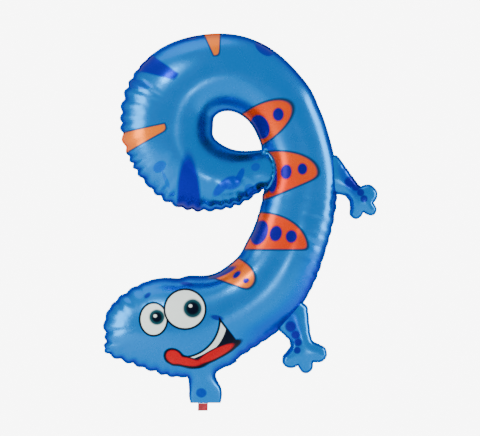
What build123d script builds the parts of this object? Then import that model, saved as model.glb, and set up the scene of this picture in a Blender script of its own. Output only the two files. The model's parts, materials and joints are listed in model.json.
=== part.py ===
"""Foil number balloon: an inflated figure 9 drawn as a lizard, from two heat-sealed sheets of film.

Frame: +Z up, the balloon's front faces -Y, +X to the viewer's right. The origin is the middle of
the neck's lower edge, where the valve comes out and the ribbon or stick is fastened. Millimetres.
"""

import os

from build123d import *

# ---- driving dimensions -----------------------------------------------------------------------
FILM = 0.5  # film thickness as modelled; the real laminate is about 0.03
SEAL_WIDTH = 4.0  # flat heat-sealed rim outside the inflated part
SEAL_THICK = 2 * FILM  # two films, fused

VALVE_WIDTH = 24.0
VALVE_FILM = 0.4
VALVE_INSIDE = 150.0  # length of the valve inside the balloon
VALVE_CORNER = 4.0
VALVE_STUB = 0.7  # what shows below the neck before the crease
TAB_TOP = 1.9  # below the neck's edge
TAB_LENGTH = 17.0
TAB_CORNER = 1.5

ROOT_GAP = 0.6  # between the body's rim and a leg's, where the film creases
ROOT_SLOPE = 0.7  # how far a leg's film leans away from its root, per millimetre of height
LEG_FLATNESS = 0.5  # a leg's depth over its width
LEG_WAIST = 0.9  # a straight side's radius over its pad's
LEG_REACH = 30.0  # more than a leg's half depth

# The body's middle line, from snout to tail: x, z, half width to the rim's edge, depth over width.
STATIONS = [
    (-232, 140, 14, 0.60),  # snout
    (-225, 139, 32, 0.62),
    (-211, 148, 56, 0.66),
    (-178, 164, 87, 0.68),
    (-140, 178, 105, 0.70),
    (-91, 183, 118, 0.72),
    (-31, 183, 121, 0.73),
    (26, 200, 113, 0.76),  # cheek
    (71, 220, 102, 0.81),
    (113, 246, 100, 0.85),
    (151, 281, 98, 0.87),
    (180, 326, 95, 0.89),
    (203, 379, 92, 0.90),
    (222, 439, 90, 0.90),
    (233, 499, 89, 0.90),  # back
    (232, 559, 88, 0.90),
    (222, 619, 84, 0.90),
    (203, 677, 82, 0.90),
    (175, 727, 83, 0.90),
    (129, 769, 87, 0.88),
    (72, 792, 92, 0.86),
    (12, 789, 97, 0.84),  # crown
    (-45, 763, 106, 0.80),
    (-80, 713, 112, 0.78),
    (-84, 655, 111, 0.78),
    (-65, 598, 102, 0.80),
    (-26, 558, 95, 0.82),
    (27, 543, 83, 0.84),
    (82, 543, 66, 0.84),
    (127, 557, 50, 0.82),
    (168, 562, 44, 0.78),  # tail, inside the back
]
LOFT_JOIN = 17  # the station where the two lofts of the body meet

# The valve neck, cut across at each height: z, centre x, half width to the rim's edge, half depth.
NECK = [
    (112, -6, 66, 52),
    (84, -2, 52, 40),
    (64, -4, 35, 29),
    (41, 4, 38, 23),
    (19, 6, 40, 13),
    (6, 6, 38, 5),
    (0, 6, 36, 1.6),
]

# Legs, as round pads (x, z, radius) joined by straight sides.
UPPER_LEG = {
    "root_upper": (315, 583, 13),
    "root_lower": (322, 520, 17),
    "thigh": (331, 540, 22),
    "ankle": (355, 514, 21),
    "palm": (376, 490, 24),
    "toe_1": (394, 500, 25),
    "toe_2": (402, 464, 15),
    "toe_3": (367, 457, 16),
}
LOWER_LEG = {
    "root_upper": (238, 226, 14),
    "root_lower": (194, 182, 14),
    "thigh": (221, 191, 21),
    "ankle": (231, 165, 27),
    "palm": (240, 128, 28),
    "toe_1": (276, 119, 22),
    "toe_2": (247, 88, 17),
    "toe_3": (210, 104, 21),
}
LEG_SIDES = [
    ("root_upper", "root_lower"),
    ("root_upper", "ankle"),
    ("root_lower", "ankle"),
    ("ankle", "palm"),
    ("palm", "toe_1"),
    ("palm", "toe_2"),
    ("palm", "toe_3"),
]

FRONT_AND_BACK = (("front", Keep.TOP, 1), ("back", Keep.BOTTOM, -1))  # the plane XZ faces the front
HALVES = (slice(0, LOFT_JOIN + 1), slice(LOFT_JOIN, None))


def save(piece, label):
    """Writes one finished piece under its node name."""
    piece.label = label
    export_step(piece, f"parts/{label}.step")


def film_half(volume, hollow, side):
    """The film over one side of an inflated volume."""
    with BuildPart() as film:
        add(volume)
        split(bisect_by=Plane.XZ, keep=side)
        add(hollow, mode=Mode.SUBTRACT)
    return film.part


def flat_seal(outline):
    """A heat-sealed rim from its flat outline."""
    with BuildPart() as seal:
        extrude(outline, amount=SEAL_THICK / 2, both=True)
    return seal.part


# ---- body --------------------------------------------------------------------------------------
def station_planes(half):
    """A plane square to the middle line at each station: its x runs along Y, its y across the tube."""
    planes = []
    for i, (x, z, *_) in enumerate(STATIONS):
        x0, z0, *_ = STATIONS[max(i - 1, 0)]
        x1, z1, *_ = STATIONS[min(i + 1, len(STATIONS) - 1)]
        ahead = Vector(x1 - x0, 0, z1 - z0).normalized()
        planes.append(Plane(origin=(x, 0, z), x_dir=(0, 1, 0), z_dir=ahead))
    return planes[half]


def tube(half, inset):
    """One half of the inflated tube, drawn in by inset, at the snout as well."""
    planes = station_planes(half)
    if half.start == 0:
        planes[0] = planes[0].offset(inset)
    with BuildPart() as made:
        for plane, (_, _, width, depth) in zip(planes, STATIONS[half]):
            dome = width - SEAL_WIDTH
            with BuildSketch(plane):
                Ellipse(dome * depth - inset, dome - inset)
        loft()
    return made.part


def neck(inset):
    """The valve neck's tube. A drawn-in one runs on past the neck's edge, so the film is open there."""
    with BuildPart() as made:
        for z, x, width, depth in NECK:
            past_edge = max(inset, 0) if z == 0 else 0
            with BuildSketch(Plane(origin=(x, 0, z - past_edge), z_dir=(0, 0, 1))):
                Ellipse(width - SEAL_WIDTH - inset, depth - inset)
        loft()
    return made.part


def body_volume(inset):
    """Everything inside the body's outer surface, drawn in by inset."""
    with BuildPart() as made:
        for half in HALVES:
            add(tube(half, inset))
        add(neck(inset))
    return made.part


def make_body():
    """The front and back film, the outer rim, and the rim round the 9's hole."""
    outside = body_volume(0)
    inside = body_volume(FILM)
    for name, side, _ in FRONT_AND_BACK:
        save(film_half(outside, inside, side), f"body_{name}_film")
    with_rim = section(body_volume(-SEAL_WIDTH), section_by=Plane.XZ)
    rims = with_rim - section(outside, section_by=Plane.XZ)
    hole_rim, outer_rim = rims.faces().sort_by(SortBy.AREA)
    save(flat_seal(hole_rim), "hole_seal")
    save(flat_seal(outer_rim), "body_outer_seal")


# ---- legs --------------------------------------------------------------------------------------
def leg_shape(pads, inset):
    """A leg before it is cut off at its root, drawn in by inset."""
    with BuildPart() as made:
        for x, z, r in pads.values():
            with Locations((x, 0, z)):
                Sphere(r - inset, rotation=(90, 0, 0))
        for ends in LEG_SIDES:
            (x0, z0, _), (x1, z1, _) = [pads[end] for end in ends]
            for x, z, r in [pads[end] for end in ends]:
                with BuildSketch(Plane(origin=(x, 0, z), z_dir=(x1 - x0, 0, z1 - z0))):
                    Circle(LEG_WAIST * (r - inset))
            loft()
        scale(by=(1, LEG_FLATNESS, 1))
    return made.part


def root_cutter(grow):
    """The space a leg leaves to the body: the flat figure plus grow, wider away from the middle."""
    with BuildPart() as made:
        for plane, (_, _, width, _) in zip(station_planes(HALVES[0]), STATIONS[HALVES[0]]):
            near = width + grow
            far = near + LEG_REACH * ROOT_SLOPE
            right = [(0, near), (LEG_REACH, far), (LEG_REACH, -far), (0, -near)]
            with BuildSketch(plane):
                Polygon(*right, (-LEG_REACH, -far), (-LEG_REACH, far), align=None)
        loft()
    return made.part


def cut_leg(pads, inset):
    """A leg's volume, drawn in by inset from its rim's edge and cut off along the body's rim."""
    with BuildPart() as made:
        add(leg_shape(pads, inset))
        add(root_cutter(ROOT_GAP + inset), mode=Mode.SUBTRACT)
    return made.part


def leg_outline(pads):
    """A leg's flat outline, rim included, before it is cut off at its root."""
    with BuildSketch(Plane.XZ) as made:
        for ends in LEG_SIDES:
            with BuildSketch(mode=Mode.PRIVATE) as side:
                for x, z, r in [pads[end] for end in ends]:
                    with Locations((x, z)):
                        Circle(r)
                make_hull()
            add(side.sketch)
    return made.sketch


def make_leg(name, pads):
    """A leg's two films and its rim."""
    outside = cut_leg(pads, SEAL_WIDTH)
    inside = cut_leg(pads, SEAL_WIDTH + FILM / LEG_FLATNESS)
    for side_name, side, _ in FRONT_AND_BACK:
        save(film_half(outside, inside, side), f"{name}_{side_name}_film")
    rim = leg_outline(pads)
    for inner in (root_cutter(ROOT_GAP), outside):
        rim = rim - section(inner, section_by=Plane.XZ)
    save(flat_seal(rim.faces().sort_by(SortBy.AREA)[-1]), f"{name}_seal")


# ---- valve -------------------------------------------------------------------------------------
def valve_strip(top, bottom, rounded_end, corner, way):
    """One flat film of the valve from top to bottom, its corners rounded at one end."""
    with BuildPart() as made:
        with BuildSketch(Plane.XZ):
            with Locations((0, (top + bottom) / 2)):
                Rectangle(VALVE_WIDTH, top - bottom)
        extrude(amount=way * VALVE_FILM)
        fillet(made.edges().filter_by(Axis.Y).group_by(Axis.Z)[rounded_end], corner)
    return made.part


def make_valve():
    """The two films of the self-sealing valve, and the two of the tab that hangs out below it."""
    for name, _, way in FRONT_AND_BACK:
        save(valve_strip(VALVE_INSIDE, -VALVE_STUB, -1, VALVE_CORNER, way), f"valve_{name}_film")
        save(valve_strip(-TAB_TOP, -TAB_TOP - TAB_LENGTH, 0, TAB_CORNER, way), f"tab_{name}_film")


os.makedirs("parts", exist_ok=True)
make_body()
make_leg("upper_leg", UPPER_LEG)
make_leg("lower_leg", LOWER_LEG)
make_valve()
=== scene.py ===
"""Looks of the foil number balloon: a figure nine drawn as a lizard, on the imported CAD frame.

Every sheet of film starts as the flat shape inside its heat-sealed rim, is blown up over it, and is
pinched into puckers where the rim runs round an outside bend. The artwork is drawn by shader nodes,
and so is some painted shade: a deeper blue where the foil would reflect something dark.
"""

import json
from math import cos, pi, radians, sin, tau

import bpy
import numpy as np
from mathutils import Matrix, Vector
from mathutils.geometry import delaunay_2d_cdt


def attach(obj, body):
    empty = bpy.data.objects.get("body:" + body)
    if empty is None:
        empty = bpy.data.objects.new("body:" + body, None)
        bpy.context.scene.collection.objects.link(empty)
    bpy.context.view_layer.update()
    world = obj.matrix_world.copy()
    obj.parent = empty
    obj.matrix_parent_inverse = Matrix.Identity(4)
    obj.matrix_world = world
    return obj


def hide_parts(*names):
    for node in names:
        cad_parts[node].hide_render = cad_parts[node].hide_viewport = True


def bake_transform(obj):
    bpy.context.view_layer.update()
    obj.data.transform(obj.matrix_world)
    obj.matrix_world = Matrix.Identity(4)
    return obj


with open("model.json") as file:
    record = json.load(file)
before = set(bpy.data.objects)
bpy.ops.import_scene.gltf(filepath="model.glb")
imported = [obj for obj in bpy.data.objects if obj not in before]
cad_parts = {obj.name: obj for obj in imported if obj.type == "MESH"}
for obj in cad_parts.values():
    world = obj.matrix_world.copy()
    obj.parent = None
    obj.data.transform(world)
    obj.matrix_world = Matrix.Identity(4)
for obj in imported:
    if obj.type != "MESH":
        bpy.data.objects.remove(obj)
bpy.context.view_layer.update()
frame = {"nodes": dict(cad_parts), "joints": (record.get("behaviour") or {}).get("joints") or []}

# ---- sizes, in metres ---------------------------------------------------------------------------
RIM_WIDTH = 0.004
RIM_HALF = 0.00045  # half of the rim's thickness
FREE_HALF = RIM_HALF * 0.7  # the same at its free edge
BODY_FULL = 0.89  # an inflated tube's depth over its width
LEG_FULL = 0.62

# The neck is open and flat at its cut edge.
MOUTH_AT = 0.0005  # the film's cut edge is below this height
AT_ZERO = 0.0001  # and the CAD rim's points on it are below this
NECK_MOUTH = 0.05  # how far the film has opened out there, of its full depth
NECK_OPENS = 0.055  # the height over which it opens out

# The film lies flatter round the hole.
HOLE_FLAT = 0.5  # by this much of its depth
HOLE_REACH = 0.035
HOLE_SMOOTH = 12  # smoothing rounds for the hole's edge

# The root of a leg, which runs on inside the body.
ROOT_TUCK = 0.02  # by this much
ROOT_NEAR = 0.003  # a leg's rim this near the body's is its root
ROOT_OPEN = 0.6  # of the tuck, where the leg's films part
BEND_BEFORE, BEND_AFTER = 0.006, 0.012  # points on a leg's root, before and after the crease

# The valve's tab.
TAB_HALF = 0.0119
TAB_TOP, TAB_END = -0.0008, -0.0187
TAB_GAP = 0.0002  # from the middle plane to each of its films
TAB_LEAN = -0.0006  # how far its end hangs to the side
TAB_ROUND = 0.06  # how much of its width the corners lose
TAB_TWIST, TAB_CURL = 0.0011, 0.0009
TAB_COLUMNS, TAB_ROWS = 13, 12

# The mesh of the films.
STEP = 0.0052  # spacing of the points
RIM_STEP, CREASE_STEP = 0.8, 0.7  # the spacing along a rim and a crease, in steps
ROW_STEP = 0.866  # between the rows of a grid of triangles, in steps
GRID_CLEAR = 0.6  # from the grid to the points that were there first, in steps
RINGS = (0.0009, 0.0026, 0.0054, 0.0092)  # rows of points along the rim, where it is steep
RING_FIT = 0.93  # how much of its distance a row's point keeps from every rim
CORNER = 0.8  # sine of the sharpest turn that is smoothed over
CHUNK = 4000  # points compared with a line at a time
SOLVER_ROUNDS = 1500
SOLVED = 1e-14  # of the load, squared, when the heights are found

# The body pressed against itself: the line where the tail's end meets the back.
TAIL_CREASE = [
    (0.152, 0.603), (0.161, 0.596), (0.170, 0.578), (0.173, 0.558),
    (0.169, 0.534), (0.158, 0.514), (0.1475, 0.508),
]
CREASE_HEIGHT = 0.030  # how far the film still stands out at the bottom of that crease

# Where the rim is puckered: x, z, how far it reaches, how strong.
PUCKERS = [
    (-0.190, 0.735, 0.075, 1.0),
    (-0.195, 0.645, 0.070, 1.0),
    (-0.165, 0.560, 0.060, 1.0),
    (-0.100, 0.490, 0.060, 1.0),
    (-0.010, 0.460, 0.060, 0.9),
    (0.080, 0.475, 0.045, 0.9),
    (0.125, 0.505, 0.030, 0.6),
    (-0.235, 0.150, 0.070, 0.9),
    (-0.190, 0.090, 0.060, 0.9),
    (-0.110, 0.070, 0.060, 0.8),
    (-0.190, 0.262, 0.050, 0.6),
    (0.310, 0.440, 0.080, 0.35),
    (0.270, 0.310, 0.060, 0.30),
    (0.110, 0.120, 0.070, 0.40),
]
PUCKER_LENGTH = 0.027
LEG_PUCKER = 0.12  # how strong all round a leg
VALLEY_SHAPE = 0.6  # below 1, valleys are narrower than the bulges between them
VALLEY_REACH = 0.006, 0.018  # how far a valley runs in: the least, and how much more at most
VALLEY_DEPTH = 0.2  # of the film's height
SCALLOP_OUT, SCALLOP_IN = 0.0075, 0.0040  # how far the rim goes from valley to bulge, and back
SCALLOP_FADE = 0.014
SWAY, SWAY_FADE = 0.0016, 0.012  # how far the rim wanders out of its plane
SWAY_DRIFT = 2.5  # how far out of step with the puckers it does, in radians
WAVES = 11  # waves added up for how uneven the puckers are
UNEVEN, UNEVEN_FADE = 1.1, 0.6  # in their spacing, less in the shorter waves
SLOW = 0.35  # in their length
BODY_SEED, LEG_SEED = 3, 7

# Shallow dents in the loosest film: x, z, half length, half width, slope in degrees, depth.
DENT_LIMIT = 0.4  # of the film's height
DENTS = [
    (0.028, 0.522, 0.034, 0.012, 62, 0.0014),
    (0.056, 0.528, 0.026, 0.011, 118, 0.0010),
    (0.083, 0.548, 0.030, 0.010, 70, 0.0010),
    (0.112, 0.532, 0.026, 0.011, 40, 0.0014),
    (0.060, 0.497, 0.034, 0.009, 8, 0.0030),
    (-0.098, 0.560, 0.030, 0.010, 60, 0.0030),
    (-0.120, 0.520, 0.026, 0.009, 20, 0.0024),
    (-0.150, 0.590, 0.024, 0.009, 150, 0.0024),
    (-0.178, 0.700, 0.022, 0.007, 165, 0.0016),
    (-0.185, 0.130, 0.026, 0.009, 20, 0.0020),
    (-0.120, 0.098, 0.026, 0.008, 80, 0.0020),
    (0.262, 0.385, 0.030, 0.008, 150, 0.0018),
    (0.276, 0.440, 0.028, 0.008, 165, 0.0018),
    (0.060, 0.128, 0.024, 0.007, 120, 0.0020),
]


# ---- outlines -----------------------------------------------------------------------------------
def rim_loops(node):
    """The flat loops round a heat-sealed rim's back face, as arrays of (x, z)."""
    mesh = frame["nodes"][node].data
    points = np.array([v.co for v in mesh.vertices])
    count = {}
    for face in mesh.polygons:
        if face.normal.y < 0.9:
            continue
        ring = [tuple(np.round(points[v][[0, 2]], 5)) for v in face.vertices]
        for a, b in zip(ring, ring[1:] + ring[:1]):
            if a != b:
                count[frozenset((a, b))] = count.get(frozenset((a, b)), 0) + 1
    ahead = {}
    for edge, times in count.items():
        if times == 1:
            a, b = edge
            ahead.setdefault(a, []).append(b)
            ahead.setdefault(b, []).append(a)
    loops, seen = [], set()
    for start in sorted(ahead):
        if start in seen:
            continue
        loop, here = [], start
        while here is not None:
            seen.add(here)
            loop.append(here)
            here = next((n for n in ahead[here] if n not in seen), None)
        loops.append(np.array(loop))
    return sorted(loops, key=lambda loop: -np.ptp(loop[:, 0]))


def area(loop):
    """Twice the signed area."""
    x, z = loop.T
    return float(np.sum(x * np.roll(z, -1) - np.roll(x, -1) * z))


def resample(loop, step, closed=True):
    """Evenly spaced points along a line, or counter-clockwise along a loop, keeping its corners."""
    if closed and area(loop) < 0:
        loop = loop[::-1]
    line = np.vstack([loop, loop[:1]]) if closed else loop
    run = np.concatenate([[0], np.cumsum(np.hypot(*np.diff(line, axis=0).T))])
    n = max(8, int(round(run[-1] / step)))
    at = np.linspace(0, run[-1], n, endpoint=not closed)
    spaced = np.column_stack([np.interp(at, run, line[:, i]) for i in (0, 1)])
    if closed:
        come, go = loop - np.roll(loop, 1, axis=0), np.roll(loop, -1, axis=0) - loop
        turn = np.abs(come[:, 0] * go[:, 1] - come[:, 1] * go[:, 0])
        corners = loop[turn / (np.hypot(*come.T) * np.hypot(*go.T)) > CORNER]
        if len(corners):
            spaced[nearest(corners, spaced)[1]] = corners
    return spaced


def inward(loop):
    """Unit normals to the left of a closed loop, which is its inside when counter-clockwise."""
    along = np.roll(loop, -1, axis=0) - np.roll(loop, 1, axis=0)
    along /= np.hypot(*along.T)[:, None]
    return np.column_stack([-along[:, 1], along[:, 0]])


def inside(points, loop):
    """Which points lie inside a closed loop."""
    x, z = points.T
    hit = np.zeros(len(points), bool)
    for (x0, z0), (x1, z1) in zip(loop, np.roll(loop, -1, axis=0)):
        if z0 != z1:
            crosses = (z0 > z) != (z1 > z)
            hit ^= crosses & (x < (x1 - x0) * (z - z0) / (z1 - z0) + x0)
    return hit


def nearest(points, line):
    """Distance to the nearest of a line's points, and which one."""
    best = np.full(len(points), 1e9)
    which = np.zeros(len(points), int)
    for i in range(0, len(points), CHUNK):
        gap = np.hypot(*(points[i : i + CHUNK, None] - line[None]).transpose(2, 0, 1))
        which[i : i + CHUNK] = gap.argmin(1)
        best[i : i + CHUNK] = gap.min(1)
    return best, which


# ---- inflating ----------------------------------------------------------------------------------
def fill(loops, lines=()):
    """A triangle mesh of the flat region inside the first loop and outside the others.

    Returns the points, the faces, and which points are on the loops and on the lines.
    """
    every = np.vstack(loops)
    rows = [every]
    for loop, side in [(loops[0], 1)] + [(hole, -1) for hole in loops[1:]]:
        for out in RINGS:
            row = loop + side * out * inward(loop)
            keep = nearest(row, every)[0] > RING_FIT * out
            rows.append(row[keep])
    low, high = every.min(0), every.max(0)
    xs = np.arange(low[0], high[0], STEP)
    zs = np.arange(low[1], high[1], STEP * ROW_STEP)
    grid = np.array([(x + (j % 2) * STEP / 2, z) for j, z in enumerate(zs) for x in xs])
    rows.append(grid[nearest(grid, every)[0] > RINGS[-1] + GRID_CLEAR * STEP])
    points = np.vstack(rows)
    within = inside(points, loops[0])
    for loop in loops[1:]:
        within &= ~inside(points, loop)
    within[: len(every)] = True
    edges, at = [], 0
    for loop in loops:
        edges += [(at + i, at + (i + 1) % len(loop)) for i in range(len(loop))]
        at += len(loop)
    crease = np.zeros(0, int)
    if len(lines):
        line = resample(np.array(lines), STEP * CREASE_STEP, closed=False)
        line = line[nearest(line, every)[0] > STEP * GRID_CLEAR / 2]
        on_loop = np.arange(len(points)) < len(every)
        within &= (nearest(points, line)[0] > STEP * GRID_CLEAR) | on_loop
        points = np.vstack([points, line])
        within = np.concatenate([within, np.ones(len(line), bool)])
    points = points[within]
    if len(lines):
        crease = np.arange(len(points) - len(line), len(points))
        edges += [(int(a), int(b)) for a, b in zip(crease, crease[1:])]
    flat, _, cells, sources, *_ = delaunay_2d_cdt([Vector(p) for p in points], edges, [], 0, 1e-7)
    made = np.array([tuple(v) for v in flat])
    origin = [o[0] if o else -1 for o in sources]
    faces = np.array([f for f in cells if len(f) == 3])
    middle = made[faces].mean(1)
    keep = inside(middle, loops[0])
    for loop in loops[1:]:
        keep &= ~inside(middle, loop)
    faces = faces[keep]
    ab, ac = made[faces[:, 1]] - made[faces[:, 0]], made[faces[:, 2]] - made[faces[:, 0]]
    flip = ab[:, 0] * ac[:, 1] - ab[:, 1] * ac[:, 0] < 0
    faces[flip] = faces[flip][:, ::-1]
    used, order = np.unique(faces, return_inverse=True)
    back = np.full(len(points), -1)
    for new, at in enumerate(used):
        if origin[at] >= 0:
            back[origin[at]] = new
    return made[used], order.reshape(faces.shape), back[: len(every)], back[crease]


def inflate(points, faces, fixed, held):
    """The height of a film blown up over a flat region: the root of the region's torsion function.

    It is nothing at the fixed points, and held has the height at the others that are given one.
    """
    n = len(points)
    i, j, k = faces.T
    rows, cols, vals = [], [], []
    for a, b, c in ((i, j, k), (j, k, i), (k, i, j)):
        u, v = points[a] - points[c], points[b] - points[c]
        cot = (u * v).sum(1) / np.maximum(np.abs(u[:, 0] * v[:, 1] - u[:, 1] * v[:, 0]), 1e-12) / 2
        rows += [a, b]
        cols += [b, a]
        vals += [cot, cot]
    rows, cols, vals = map(np.concatenate, (rows, cols, vals))
    diagonal = np.bincount(rows, vals, n)
    u, v = points[j] - points[i], points[k] - points[i]
    cell = np.abs(u[:, 0] * v[:, 1] - u[:, 1] * v[:, 0]) / 6
    load = sum(np.bincount(c, cell, n) for c in (i, j, k))
    known = np.zeros(n)
    free = np.ones(n, bool)
    free[fixed] = False
    for at, height in held.items():
        free[at] = False
        known[at] = height**2 / 2
    load -= diagonal * known - np.bincount(rows, vals * known[cols], n)
    load[~free] = 0

    def apply(x):
        return np.where(free, diagonal * x - np.bincount(rows, vals * x[cols], n), 0)

    x = np.zeros(n)
    r = load.copy()
    z = r / diagonal
    p = z.copy()
    rz = r @ z
    for _ in range(SOLVER_ROUNDS):
        q = apply(p)
        alpha = rz / (p @ q)
        x += alpha * p
        r -= alpha * q
        if r @ r < SOLVED * (load @ load):
            break
        z = np.where(free, r / diagonal, 0)
        new = r @ z
        p = z + new / rz * p
        rz = new
    return np.sqrt(2 * np.maximum(x + known, 0))


def waves(run, seed, length):
    """A steady but uneven phase along a rim, and a slow value from 0 to 1."""
    rng = np.random.default_rng(seed)
    phase = np.zeros_like(run)
    slow = np.zeros_like(run)
    total = run[-1] + (run[1] - run[0])
    turns = round(total / length)
    for m in range(1, WAVES + 1):
        a, b = rng.uniform(0, tau, 2)
        phase += UNEVEN / m**UNEVEN_FADE * np.sin(tau * m * 3 * run / total + a)
        slow += SLOW * np.sin(tau * (m + 2) * 2 * run / total + b)
    return tau * turns * run / total + phase, np.clip(0.5 + 0.5 * slow, 0, 1)


def strength(points):
    """How puckered the rim is near each point."""
    value = np.zeros(len(points))
    for x, z, reach, most in PUCKERS:
        gap = np.hypot(points[:, 0] - x, points[:, 1] - z)
        value = np.maximum(value, most * np.exp(-((gap / reach) ** 2)))
    return value


def taper(points):
    """How far the film has opened out above the flat neck."""
    return np.clip(NECK_MOUTH + (points[:, 1] - MOUTH_AT) / NECK_OPENS, 0, 1)


def dents(points):
    """How deep the film is dented at each point."""
    depth = np.zeros(len(points))
    for x, z, long, short, slope, most in DENTS:
        a, b = cos(radians(slope)), sin(radians(slope))
        u, v = points[:, 0] - x, points[:, 1] - z
        depth += most * np.exp(-(((a * u + b * v) / long) ** 2) - ((a * v - b * u) / short) ** 2)
    return depth


def in_plane(points):
    """Points (x, z) as points in space, in the figure's middle plane."""
    return np.column_stack([points[:, 0], np.zeros(len(points)), points[:, 1]])


def mesh_piece(name, points, faces, rest, body=None):
    """A smooth mesh object that remembers where its print is."""
    mesh = bpy.data.meshes.new(name)
    mesh.from_pydata([tuple(p) for p in points], [], [tuple(int(v) for v in f) for f in faces])
    mesh.polygons.foreach_set("use_smooth", np.ones(len(mesh.polygons), bool))
    art = mesh.attributes.new("print", "FLOAT_VECTOR", "POINT")
    art.data.foreach_set("vector", np.asarray(rest, np.float32).ravel())
    mesh.update()
    piece = bpy.data.objects.new(name, mesh)
    bpy.context.scene.collection.objects.link(piece)
    if body:
        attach(piece, body)
    return piece


def smooth_hole(loop):
    """Evens out the hole's edge in place, apart from its sharp corner by the tail."""
    soft = nearest(loop, loop[[loop[:, 0].argmax()]])[0] > 2 * STEP
    for _ in range(HOLE_SMOOTH):
        mean = (np.roll(loop, 1, axis=0) + 2 * loop + np.roll(loop, -1, axis=0)) / 4
        loop[soft] = mean[soft]


def balloon(free_loops, full, pucker, open_ends, seed, lines=()):
    """The points and faces of an inflated figure's films, and what its rim is made from.

    free_loops are the rim's free edges, the outer one first. full is the depth over the width,
    pucker says how puckered the rim is at a point, open_ends where a loop isn't sealed, and the
    film is creased along lines.
    """
    free_loops = [resample(loop, STEP * RIM_STEP) for loop in free_loops]
    for loop in free_loops[1:]:
        smooth_hole(loop)
    seam_loops = []
    for n, loop in enumerate(free_loops):
        side = 1 if n == 0 else -1
        seam = loop + side * RIM_WIDTH * inward(loop)
        mouth = loop[:, 1] < MOUTH_AT
        if mouth.any():
            middle, half = loop[mouth, 0].mean(), np.ptp(loop[mouth, 0]) / 2
            seam[mouth, 0] = middle + (loop[mouth, 0] - middle) * (1 - RIM_WIDTH / half)
            seam[mouth, 1] = loop[mouth, 1]
        seam_loops.append(seam)
    seam = np.vstack(seam_loops)
    free = np.vstack(free_loops)
    points, faces, edge, crease = fill(seam_loops, lines)
    sealed = ~open_ends(seam)
    arch = CREASE_HEIGHT * np.sqrt(np.sin(np.linspace(0, pi, len(crease) + 2))[1:-1])
    height = full * inflate(points, faces, edge[sealed], dict(zip(crease, arch))) * taper(points)
    for loop in seam_loops[1:]:
        height *= 1 - HOLE_FLAT * np.exp(-nearest(points, loop)[0] / HOLE_REACH)

    # Puckers: valleys that run in from the rim, and scallops in the rim itself.
    phase, slow, out = [], [], []
    for n, loop in enumerate(free_loops):
        run = np.concatenate([[0], np.cumsum(np.hypot(*np.diff(loop, axis=0).T))])
        a, b = waves(run, seed + n, PUCKER_LENGTH)
        phase.append(a)
        slow.append(b)
        out.append((-1 if n == 0 else 1) * inward(loop))
    phase, slow, out = np.concatenate(phase), np.concatenate(slow), np.vstack(out)
    force = pucker(seam)
    bulge = (0.5 - 0.5 * np.cos(phase)) ** VALLEY_SHAPE  # 0 in a valley, 1 between two
    gap, near = nearest(points, seam)
    fold = force[near] * np.exp(-gap / (VALLEY_REACH[0] + VALLEY_REACH[1] * slow[near]))
    dented = np.minimum(dents(points), DENT_LIMIT * height)
    height = height * (1 - VALLEY_DEPTH * fold * (1 - bulge[near])) - dented
    scallop = out * (force * (SCALLOP_OUT * bulge - SCALLOP_IN))[:, None]
    flat = points + np.exp(-gap / SCALLOP_FADE)[:, None] * scallop[near]
    sway = SWAY * np.sin(phase / 2 + SWAY_DRIFT * slow) * force
    lift = np.exp(-gap / SWAY_FADE) * sway[near]
    height[edge[sealed]] = RIM_HALF

    front = np.column_stack([flat[:, 0], lift - height, flat[:, 1]])
    back = np.column_stack([flat[:, 0], lift + height, flat[:, 1]])
    return dict(
        front=front, back=back, faces=faces, rest=in_plane(points), edge=edge, sealed=sealed,
        free=free, free_at=free + scallop, sway=sway, loops=[len(loop) for loop in free_loops],
    )


def rim_mesh(figure):
    """The rim's points and faces: a thin band from the film's edge to its free edge."""
    edge, sealed, free_at = figure["edge"], figure["sealed"], figure["free_at"]
    n = len(free_at)
    free_front = np.column_stack([free_at[:, 0], figure["sway"] - FREE_HALF, free_at[:, 1]])
    free_back = free_front + (0, 2 * FREE_HALF, 0)
    points = np.vstack([figure["front"][edge], free_front, free_back, figure["back"][edge]])
    seam_print, free_print = figure["rest"][edge], in_plane(figure["free"])
    rest = np.vstack([seam_print, free_print, free_print, seam_print])
    faces, at = [], 0
    for length in figure["loops"]:
        for i in range(length):
            a, b = at + i, at + (i + 1) % length
            if sealed[a] or sealed[b]:
                for row in range(4):
                    above = (row + 1) % 4
                    faces.append((row * n + a, above * n + a, above * n + b, row * n + b))
        at += length
    used = sorted({v for f in faces for v in f})
    index = {v: i for i, v in enumerate(used)}
    return points[used], [tuple(index[v] for v in f) for f in faces], rest[used]


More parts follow.
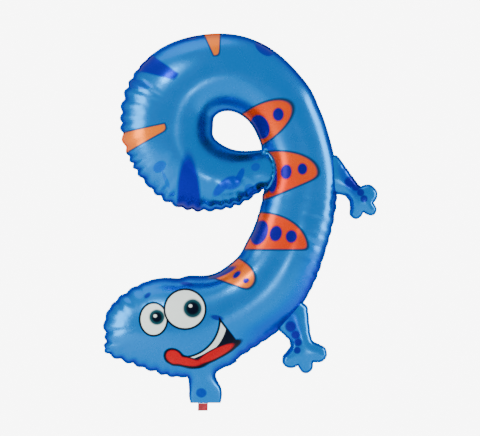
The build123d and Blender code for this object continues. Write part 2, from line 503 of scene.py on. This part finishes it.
# ---- shader nodes -------------------------------------------------------------------------------
class Ink:
    """A material's node tree, and the colour and metal that the drawings, print and painted shade,
    add to.

    A shape is a rough distance in millimetres, below 0 inside, in the plane of the flat figure.
    """

    def __init__(self, name):
        self.material = bpy.data.materials.new(name)
        self.material.use_nodes = True
        self.tree = self.material.node_tree
        self.tree.nodes.clear()
        place = self.node("ShaderNodeAttribute", attribute_name="print")
        split = self.node("ShaderNodeSeparateXYZ")
        self.link(place.outputs["Vector"], split.inputs[0])
        self.vector = place.outputs["Vector"]
        self.x, self.z = split.outputs["X"], split.outputs["Z"]

    def node(self, kind, **settings):
        """A new node with its properties set."""
        made = self.tree.nodes.new(kind)
        for key, value in settings.items():
            setattr(made, key, value)
        return made

    def link(self, a, b):
        self.tree.links.new(a, b)

    def put(self, value, socket):
        """Sets a socket to a number or colour, or links an output to it."""
        if isinstance(value, (int, float, tuple)):
            socket.default_value = value
        else:
            self.link(value, socket)

    def math(self, operation, *values):
        """A sum, product or other step of arithmetic."""
        made = self.node("ShaderNodeMath", operation=operation)
        for value, socket in zip(values, made.inputs):
            self.put(value, socket)
        return made.outputs[0]

    def soft(self, value, low, high, to_low=0.0, to_high=1.0):
        """A smooth step from to_low, at low, to to_high, at high."""
        made = self.node("ShaderNodeMapRange", interpolation_type="SMOOTHSTEP")
        for v, socket in zip((value, low, high, to_low, to_high), made.inputs):
            self.put(v, socket)
        return made.outputs[0]

    def noise(self, scale, detail=3.0, rough=0.5, distortion=0.0):
        """Cloudy noise fixed to the print."""
        made = self.node("ShaderNodeTexNoise")
        self.link(self.vector, made.inputs["Vector"])
        made.inputs["Scale"].default_value = scale
        made.inputs["Detail"].default_value = detail
        made.inputs["Roughness"].default_value = rough
        made.inputs["Distortion"].default_value = distortion
        return made.outputs["Fac"]

    def far(self, x, z, rx, rz, turn=0.0):
        """Distance from an ellipse's middle, 1 on its edge. In millimetres and degrees."""
        made = self.node("ShaderNodeMapping", vector_type="TEXTURE")
        made.inputs["Location"].default_value = (x / 1000, 0, z / 1000)
        made.inputs["Rotation"].default_value = (0, -radians(turn), 0)
        made.inputs["Scale"].default_value = (rx / 1000, 1000, rz / 1000)
        self.link(self.vector, made.inputs["Vector"])
        length = self.node("ShaderNodeVectorMath", operation="LENGTH")
        self.link(made.outputs[0], length.inputs[0])
        return length.outputs["Value"]

    def gap(self, x, z, rx, rz, turn=0.0):
        """Rough distance outside an ellipse, in millimetres, below 0 inside."""
        size = min(rx, rz)
        return self.math("MULTIPLY_ADD", self.far(x, z, rx, rz, turn), size, -size)

    def beyond(self, x0, z0, x1, z1):
        """Distance to the left of the line from the first point to the second, in millimetres."""
        long = ((x1 - x0) ** 2 + (z1 - z0) ** 2) ** 0.5
        nx, nz = -(z1 - z0) / long, (x1 - x0) / long
        part = self.math("MULTIPLY_ADD", self.x, nx * 1000, -(x0 * nx + z0 * nz))
        return self.math("MULTIPLY_ADD", self.z, nz * 1000, part)

    def both(self, a, b, round_by=4.0):
        """The overlap of two shapes."""
        return self.math("SMOOTH_MAX", a, b, round_by)

    def either(self, a, b, round_by=1.0):
        """Two shapes together."""
        return self.math("SMOOTH_MIN", a, b, round_by)

    def cover(self, shape, edge=1.2):
        """How much ink lies inside a shape."""
        return self.soft(shape, -edge, edge, 1.0, 0.0)

    def mix(self, under, above, amount, sockets, **settings):
        """A Mix node whose factor and two values go into the given sockets."""
        made = self.node("ShaderNodeMix", **settings)
        for value, at in zip((amount, under, above), sockets):
            self.put(value, made.inputs[at])
        return made

    def blend(self, under, above, amount):
        """One colour over another."""
        return self.mix(under, above, amount, (0, 6, 7), data_type="RGBA").outputs[2]

    def lay(self, paint, amount, metal=0.9, share=1.0):
        """Lays a colour, print or painted shade, where amount says. The ink hides the metal under
        it down to metal.
        """
        if share != 1.0:
            amount = self.math("MULTIPLY", amount, share)
        self.colour = self.blend(self.colour, paint, amount)
        self.metal = self.mix(self.metal, metal, amount, (0, 2, 3)).outputs[0]


# The inks, as linear colours.
AZURE = (0.0, 0.185, 0.66, 1)
DEEP = (0.0, 0.11, 0.58, 1)
EDGE = (0.0, 0.07, 0.42, 1)  # what the foil turns to where it is seen at a slant
RIM_BLUE = (0.0, 0.14, 0.58, 1)
NAVY = (0.012, 0.002, 0.27, 1)
COBALT = (0.002, 0.003, 0.37, 1)
PAINTED_SHADE_BLUE = (0.0, 0.035, 0.55, 1)  # painted shade and painted dark reflections, where the foil would mirror something dark
ORANGE = (0.80, 0.042, 0.0, 1)
AMBER = (0.90, 0.19, 0.01, 1)
LINE = (0.012, 0.016, 0.02, 1)
WHITE = (0.86, 0.96, 1.0, 1)
BLACK = (0.002, 0.003, 0.006, 1)
TEAL = (0.01, 0.06, 0.08, 1)  # round a pupil
RED = (0.52, 0.002, 0.002, 1)


def draw_fins(ink):
    """Four fins with spots along the inside bend of the back."""
    past_tail = ink.math("MULTIPLY", ink.gap(112, 556, 61, 62), -1.0)
    second = ink.both(ink.gap(161, 545, 120, 61, 5), ink.beyond(269, 535, 146, 483), 14)
    fins = [
        ink.both(ink.gap(126, 661, 107, 47, 32), ink.beyond(150, 598, 60, 698), 2),
        ink.both(ink.both(second, past_tail, 2), ink.beyond(140, 480, 140, 620), 2),
        ink.both(ink.gap(132, 372, 122, 88), ink.beyond(300, 366, 0, 366), 16),
        ink.both(ink.gap(65, 313, 66, 42, -20), ink.beyond(114, 268, 14, 302), 10),
    ]
    shade = ink.soft(ink.noise(9.0, 1.0), 0.35, 0.65)
    for fin, amber in zip(fins, (0.25, 0.25, 0.25, 0.9)):
        ink.lay(LINE, ink.cover(fin, 2.0), 0.5, 0.85)
        paint = ink.blend(ORANGE, AMBER, ink.math("MULTIPLY", shade, amber))
        ink.lay(paint, ink.cover(ink.math("ADD", fin, 4.5), 1.8), 0.55)
    spots = [
        (137, 662, 21, 29, 22), (180, 691, 12.5, 15, 0),
        (163, 543, 14, 38, 4), (199, 554, 12.5, 17, -6), (237.5, 561, 11, 13, 0),
        (135, 409, 19, 30, -22), (174, 407, 14, 18, -14), (211, 400, 13, 14.5, -8),
        (48, 314, 32, 7, 24), (81, 309, 11, 5.5, 42), (103, 295, 7, 5.5, 20),
    ]  # x, z, half width, half height, turn
    for spot in spots:
        shape = ink.both(ink.gap(*spot), past_tail, 1)
        ink.lay(LINE, ink.cover(ink.math("ADD", shape, -1.5), 2.0), 0.5, 0.5)
        ink.lay(NAVY, ink.cover(shape, 1.5), 0.6)


def draw_painted_shade(ink):
    """Painted shade: deeper blue on the belly's outside, fading up the back and under the chin."""
    band = ink.soft(ink.gap(23, 395, 249, 249), -42, -4)
    band = ink.math("MULTIPLY", band, ink.soft(ink.x, 0.05, 0.15))
    band = ink.math("MULTIPLY", band, ink.soft(ink.z, 0.30, 0.42, 1.0, 0.0))
    ink.lay(PAINTED_SHADE_BLUE, band, 0.9, 0.6)


def draw_stripes(ink):
    """Dark and orange wedges round the loop, the painted dark reflections by the tail, and the
    neck's spot.
    """
    # Painted dark reflections: deeper blue patches where the foil would mirror something dark.
    reflection_patches = [
        (68, 528, 25, 17, 14, 0.85), (44, 517, 28, 11, 48, 0.85), (89, 545, 21, 8, 66, 0.8),
        (112, 511, 14, 15, 0, 0.6), (-103, 566, 18, 13, 35, 0.6), (-88, 535, 24, 5, -68, 0.4),
        (126, 566, 12, 10, 30, 0.6),
    ]
    for *shape, share in reflection_patches:
        ink.lay(PAINTED_SHADE_BLUE, ink.soft(ink.far(*shape), 0.75, 1.15, 1.0, 0.0), 0.8, share)
    wedges = [
        (-153, 763, 32, 12, -8, 0.5), (-27, 877, 15, 6, 8, 0.7), (146, 850, 26, 15, -40, 0.85),
        (-33, 462, 30, 140, 1, 1.0), (-4, 25, 13, 12, 0, 0.75),
    ]
    for *shape, share in wedges:
        ink.lay(COBALT, ink.soft(ink.far(*shape), 0.8, 1.12, 1.0, 0.0), 0.7, share)
    # Each spike lies between two lines and is cut off round at its tip.
    spikes = [
        ink.both(ink.beyond(*one), ink.both(ink.beyond(*other), ink.beyond(*tip), 18), 3)
        for one, other, tip in [
            ((-122, 834, -56, 787), (-60, 770, -152, 795), (-58, 786, -67, 768)),
            ((27, 832, 4, 884), (40, 886, 38, 832), (60, 832, 0, 832)),
            ((-190, 647, -92, 667), (-92, 652, -181, 603), (-92, 669, -84, 651)),
        ]
    ]
    ink.lay(COBALT, ink.cover(spikes[0], 3.5), 0.7, 0.95)
    for wedge in spikes[1:]:
        ink.lay(LINE, ink.cover(ink.math("ADD", wedge, -3.5), 2.0), 0.5, 0.85)
        ink.lay(AMBER, ink.cover(wedge, 1.5), 0.55)


def draw_face(ink):
    """Two round eyes, brows, and an open grin with the tongue out."""
    for x, z, rx, rz, turn in [(-132, 259, 9, 5, 40), (-37, 286, 17, 5, -8), (34, 207, 15, 6, -12)]:
        ink.lay(NAVY, ink.cover(ink.gap(x, z, rx, rz, turn), 2.0), 0.6, 0.85)
    upper_lip = ink.math("MULTIPLY", ink.gap(-51, 204, 93, 93), -1.0)
    cheek = ink.beyond(92, 132, 38, 205)
    mouth = ink.both(ink.math("MULTIPLY", cheek, -1.0), ink.beyond(76, 150, -40, 100), 14)
    mouth = ink.both(ink.both(mouth, upper_lip, 3), ink.gap(24, 140, 66, 68), 2)
    teeth = ink.both(mouth, ink.gap(-45, 206, 105, 105), 1)
    tongue = ink.either(ink.gap(31, 121, 54, 12, 27), ink.gap(-40, 102, 34, 11, -10), 10)
    tongue = ink.either(tongue, ink.gap(-69, 113, 21, 17, -30), 8)
    ink.lay(BLACK, ink.cover(ink.math("ADD", ink.either(mouth, tongue), -3.6), 1.5), 0.1)
    ink.lay(WHITE, ink.cover(ink.math("ADD", teeth, 1.5), 1.2), 0.0)
    ink.lay(BLACK, ink.cover(ink.math("ADD", tongue, -1.6), 1.2), 0.1)
    ink.lay(RED, ink.cover(ink.math("ADD", tongue, 1.6), 1.5), 0.2)
    for x, z, rx, rz, px, pz, size, gx, gz in [
        (-117, 203, 33, 39, -109, 208, 15, -113, 211), (-42, 227, 49, 47, -24, 229, 19, -29, 235),
    ]:
        ink.lay(BLACK, ink.cover(ink.gap(x, z, rx + 2.5, rz + 2.5), 1.2), 0.1)
        ink.lay(WHITE, ink.cover(ink.gap(x, z, rx - 2.5, rz - 2.5), 1.2), 0.0)
        ink.lay(TEAL, ink.soft(ink.far(px, pz, size + 4, size + 4), 0.85, 1.1, 1.0, 0.0), 0.1)
        ink.lay(BLACK, ink.soft(ink.far(px, pz, size, size), 0.6, 1.05, 1.0, 0.0), 0.1)
        ink.lay(WHITE, ink.cover(ink.gap(gx, gz, 4, 3.6), 1.5), 0.0)


def draw_leg_spots(ink):
    """A row of printed spots down each leg, on painted shade: a deeper blue at the leg's root."""
    # Painted shade: a deeper blue at each leg's root, where it meets the body.
    for x, z, rx, rz, turn in [(350, 534, 50, 17, -60), (217, 186, 50, 19, -76)]:
        ink.lay(PAINTED_SHADE_BLUE, ink.soft(ink.far(x, z, rx, rz, turn), 0.5, 1.25, 1.0, 0.0), 0.9, 0.65)
    for x, z, r in [
        (352, 530, 14), (367, 519, 11), (378, 505, 9.5), (386, 490, 9.5),
        (210, 184, 14), (222, 164, 11), (228, 146, 10), (226, 127, 9),
    ]:
        ink.lay(NAVY, ink.soft(ink.far(x, z, r, r), 0.7, 1.15, 1.0, 0.0), 0.7, 0.9)


def foil(name, *drawings, gloss=0.26, base=AZURE, shade=DEEP):
    """Printed metallised film."""
    ink = Ink(name)
    ink.metal = 0.97
    cloud = ink.math("MULTIPLY", ink.soft(ink.noise(3.0, 2.0), 0.5, 0.9), 0.35)
    ink.colour = ink.blend(base, shade, cloud)
    for draw in drawings:
        draw(ink)
    shader = ink.node("ShaderNodeBsdfPrincipled")
    ink.put(ink.colour, shader.inputs["Base Color"])
    ink.put(ink.blend(ink.colour, EDGE, 0.7), shader.inputs["Specular Tint"])
    ink.put(ink.metal, shader.inputs["Metallic"])
    rough = ink.soft(ink.noise(14.0, 4.0), 0.3, 0.7, gloss - 0.04, gloss + 0.06)
    ink.put(rough, shader.inputs["Roughness"])
    shader.inputs["Coat Weight"].default_value = 0.03
    shader.inputs["Coat Roughness"].default_value = 0.15
    fine = ink.math("MULTIPLY", ink.noise(240.0, 2.0), 0.12)
    crinkle = ink.math("ADD", ink.noise(55.0, 3.0, 0.55, 0.8), fine)
    bump = ink.node("ShaderNodeBump")
    bump.inputs["Strength"].default_value = 0.22
    bump.inputs["Distance"].default_value = 0.0009
    ink.link(crinkle, bump.inputs["Height"])
    ink.link(bump.outputs[0], shader.inputs["Normal"])
    ink.link(shader.outputs[0], ink.node("ShaderNodeOutputMaterial").inputs[0])
    return ink.material


def film(name, paint, rough, alpha):
    """Thin, slightly cloudy polyethylene."""
    ink = Ink(name)
    darker = tuple(0.6 * c for c in paint[:3]) + (1,)
    shader = ink.node("ShaderNodeBsdfPrincipled")
    cloudy = ink.blend(paint, darker, ink.soft(ink.noise(70.0), 0.4, 0.7))
    ink.link(cloudy, shader.inputs["Base Color"])
    shader.inputs["Roughness"].default_value = rough
    shader.inputs["Alpha"].default_value = alpha
    bump = ink.node("ShaderNodeBump")
    bump.inputs["Distance"].default_value = 0.0004
    ink.link(ink.noise(160.0, 3.0), bump.inputs["Height"])
    ink.link(bump.outputs[0], shader.inputs["Normal"])
    ink.link(shader.outputs[0], ink.node("ShaderNodeOutputMaterial").inputs[0])
    return ink.material


# The films' materials carry the print and the painted shade.
FRONT_FOIL = foil("front_print_and_painted_shade", draw_painted_shade, draw_stripes, draw_fins, draw_face)
BACK_FOIL = foil("back_print_and_painted_shade", draw_painted_shade, draw_stripes, draw_fins)
LEG_FOIL = foil("leg_print_and_painted_shade", draw_leg_spots)
RIM_FOIL = foil("rim_print_and_painted_shade", draw_stripes, gloss=0.3, base=RIM_BLUE, shade=RIM_BLUE)
VALVE_FILM = film("clear_film", (0.75, 0.8, 0.85, 1), 0.35, 0.6)
TAB_FILM = film("red_film", (0.50, 0.004, 0.03, 1), 0.3, 0.97)


# ---- pieces -------------------------------------------------------------------------------------
def build(figure, names, nodes, materials, body=None, bend=None):
    """Makes the front film, back film and rim, riding on a body or standing on their own."""
    front, back, rim = names
    points, rim_faces, rim_rest = rim_mesh(figure)
    data = [
        (front, figure["front"], figure["faces"], figure["rest"]),
        (back, figure["back"], figure["faces"][:, ::-1], figure["rest"]),
        (rim, points, rim_faces, rim_rest),
    ]
    for (name, at, faces, rest), replaced, material in zip(data, nodes, materials):
        piece = mesh_piece(name, at, faces, rest, body)
        piece.data.materials.append(material)
        if bend:
            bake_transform(piece)
        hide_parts(*replaced)


def free_edge():
    """The body's free edge, with the neck's cut edge: the longer way round the open rim."""
    strip = rim_loops("body_outer_seal")[0]
    low = np.flatnonzero(strip[:, 1] < AT_ZERO)
    strip = np.vstack([np.roll(strip, -low[0], axis=0), strip[low[:1]]])
    low = np.flatnonzero(strip[:, 1] < AT_ZERO)
    runs = [strip[a : b + 1] for a, b in zip(low, low[1:]) if b - a > 3]
    return max(runs, key=lambda run: abs(area(run)))


free_outer = free_edge()
hole = min(rim_loops("hole_seal"), key=lambda loop: abs(area(loop)))
figure = balloon(
    [free_outer, hole], BODY_FULL, strength, lambda points: points[:, 1] < MOUTH_AT, BODY_SEED,
    TAIL_CREASE,
)
build(
    figure,
    ("front_film", "back_film", "rim"),
    (["body_front_film"], ["body_back_film"], ["body_outer_seal", "hole_seal"]),
    (FRONT_FOIL, BACK_FOIL, RIM_FOIL),
    body="balloon",
)


def evenly(points):
    """A leg's rim is puckered a little all round."""
    return np.full(len(points), LEG_PUCKER)


for leg in ("upper_leg", "lower_leg"):
    joint = next(j for j in frame["joints"] if j["child"] == leg)
    pivot, axis = np.array(joint["pos_m"])[[0, 2]], np.array(joint["axis"])[[0, 2]]
    outward = np.array([axis[1], -axis[0]]) / np.hypot(*axis)
    loop = resample(rim_loops(f"{leg}_seal")[0], STEP * RIM_STEP)
    body_gap, _ = nearest(loop, resample(free_outer, STEP * RIM_STEP / 2))
    tucked = loop - outward * (ROOT_TUCK * (body_gap < ROOT_NEAR))[:, None]
    inner_edge = (pivot - outward * (ROOT_TUCK * ROOT_OPEN)) @ outward

    def open_root(points, edge=inner_edge, way=outward):
        return points @ way < edge

    start, end = pivot - outward * BEND_BEFORE, pivot + outward * BEND_AFTER
    build(
        balloon([tucked], LEG_FULL, evenly, open_root, LEG_SEED),
        (f"{leg}_front", f"{leg}_back", f"{leg}_rim"),
        ([f"{leg}_front_film"], [f"{leg}_back_film"], [f"{leg}_seal"]),
        (LEG_FOIL, LEG_FOIL, LEG_FOIL),
        bend=("balloon", leg, (start[0], 0, start[1]), (end[0], 0, end[1])),
    )

for node in ("valve_front_film", "valve_back_film"):
    frame["nodes"][node].data.materials.clear()
    frame["nodes"][node].data.materials.append(VALVE_FILM)


def tab_sheet(name, node, side):
    """One film of the valve's tab, curled a little and hanging askew."""
    across, down = np.meshgrid(np.linspace(-1, 1, TAB_COLUMNS), np.linspace(0, 1, TAB_ROWS))
    u, v = across.ravel(), down.ravel()
    corner = np.clip((v - 0.9) / 0.1, 0, 1)  # the last tenth, where the corners round off
    x = TAB_HALF * u * (1 - TAB_ROUND * corner * np.abs(u) ** 6) + TAB_LEAN * v
    curl = TAB_TWIST * v * np.sin(1.5 * u + 0.4) + TAB_CURL * v**2
    y = side * TAB_GAP * (1 + 2 * v) + curl
    z = TAB_TOP + (TAB_END - TAB_TOP) * v
    points = np.column_stack([x, y, z])
    faces = []
    for row in range(TAB_ROWS - 1):
        for column in range(TAB_COLUMNS - 1):
            a = row * TAB_COLUMNS + column
            face = (a, a + TAB_COLUMNS, a + TAB_COLUMNS + 1, a + 1)
            faces.append(face if side < 0 else face[::-1])
    piece = mesh_piece(name, points, faces, points, "valve_tab")
    piece.data.materials.append(TAB_FILM)
    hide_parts(node)


tab_sheet("tab_front", "tab_front_film", -1)
tab_sheet("tab_back", "tab_back_film", 1)


# ---- stage --------------------------------------------------------------------------------------
FLOOR_AT, FLOOR_RADIUS = -0.30, 3.2
MIDDLE = (0.09, 0, 0.44)  # of the balloon
LOOP_TOP = (-0.02, 0, 0.75)
LAMP_COLOUR = (1.0, 0.98, 0.72)
# Name, place, what it is turned to, width and height in metres, watts.
LAMPS = [
    ("key", (-1.7, -2.6, 2.9), MIDDLE, (0.7, 0.7), 46),
    ("right_strip", (2.3, 0.45, 0.85), MIDDLE, (1.1, 2.0), 50),
    ("left_box", (-2.3, -0.7, 0.8), MIDDLE, (1.15, 1.9), 44),
    ("window", (1.2, -3.0, -0.05), LOOP_TOP, (0.22, 0.3), 6),
]
OVERHEAD_POWER, OVERHEAD_SPREAD = 0.5, 50
OVERHEAD_TILT = (-12, -14, 0)
ROOM_GLOW, SHEET_GLOW = 0.92, 8.0
SHEET_FROM, SHEET_FULL = 0.984, 0.9964  # cosines of the angle from straight back
LENS, SENSOR = 300, 36
VIEW_MIDDLE = (0.0888, 0.444)
VIEW_WIDTH = 1.152  # across the picture at the balloon


def floor():
    """A plain pale round floor, well below the balloon, which floats or hangs."""
    bpy.ops.mesh.primitive_circle_add(
        vertices=128, radius=FLOOR_RADIUS, fill_type="NGON", location=(0, 0, FLOOR_AT)
    )
    plane = bpy.context.object
    plane.name = "floor"
    material = bpy.data.materials.new("floor")
    material.use_nodes = True
    shader = material.node_tree.nodes["Principled BSDF"]
    shader.inputs["Base Color"].default_value = (0.9, 0.9, 0.9, 1)
    shader.inputs["Roughness"].default_value = 0.8
    plane.data.materials.append(material)


def lamp(name, at, to, size, power):
    """A soft rectangular light at a point, turned to another."""
    data = bpy.data.lights.new(name, "AREA")
    data.shape = "RECTANGLE"
    data.size, data.size_y = size
    data.energy = power
    data.color = LAMP_COLOUR
    made = bpy.data.objects.new(name, data)
    made.location = at
    made.rotation_euler = (Vector(to) - Vector(at)).to_track_quat("-Z", "Y").to_euler()
    bpy.context.scene.collection.objects.link(made)


def overhead_light():
    """A wide, weak light from above, as from a pale ceiling."""
    data = bpy.data.lights.new("overhead", "SUN")
    data.energy = OVERHEAD_POWER
    data.angle = radians(OVERHEAD_SPREAD)
    made = bpy.data.objects.new("overhead", data)
    made.rotation_euler = [radians(turn) for turn in OVERHEAD_TILT]
    bpy.context.scene.collection.objects.link(made)


def studio_world():
    """A soft grey room with a bright sheet behind the balloon."""
    world = bpy.data.worlds.new("studio")
    bpy.context.scene.world = world
    world.use_nodes = True
    tree = world.node_tree
    way = tree.nodes.new("ShaderNodeTexCoord")
    toward = tree.nodes.new("ShaderNodeVectorMath")
    toward.operation = "DOT_PRODUCT"
    toward.inputs[1].default_value = (0, 1, 0)
    glow = tree.nodes.new("ShaderNodeMapRange")
    glow.interpolation_type = "SMOOTHSTEP"
    span = (SHEET_FROM, SHEET_FULL, ROOM_GLOW, SHEET_GLOW)
    for value, socket in zip(span, list(glow.inputs)[1:5]):
        socket.default_value = value
    tree.links.new(way.outputs["Generated"], toward.inputs[0])
    tree.links.new(toward.outputs["Value"], glow.inputs[0])
    tree.links.new(glow.outputs[0], tree.nodes["Background"].inputs[1])
    tree.nodes["Background"].inputs[0].default_value = (1, 1, 1, 1)


def photo_camera():
    """A long lens straight in front, framed as the photograph is."""
    data = bpy.data.cameras.new("camera")
    data.sensor_width = SENSOR
    data.lens = LENS
    eye = bpy.data.objects.new("camera", data)
    x, z = VIEW_MIDDLE
    eye.location = (x, -VIEW_WIDTH * LENS / SENSOR, z)
    eye.rotation_euler = (pi / 2, 0, 0)
    bpy.context.scene.collection.objects.link(eye)
    bpy.context.scene.camera = eye


floor()
for each in LAMPS:
    lamp(*each)
overhead_light()
studio_world()
photo_camera()
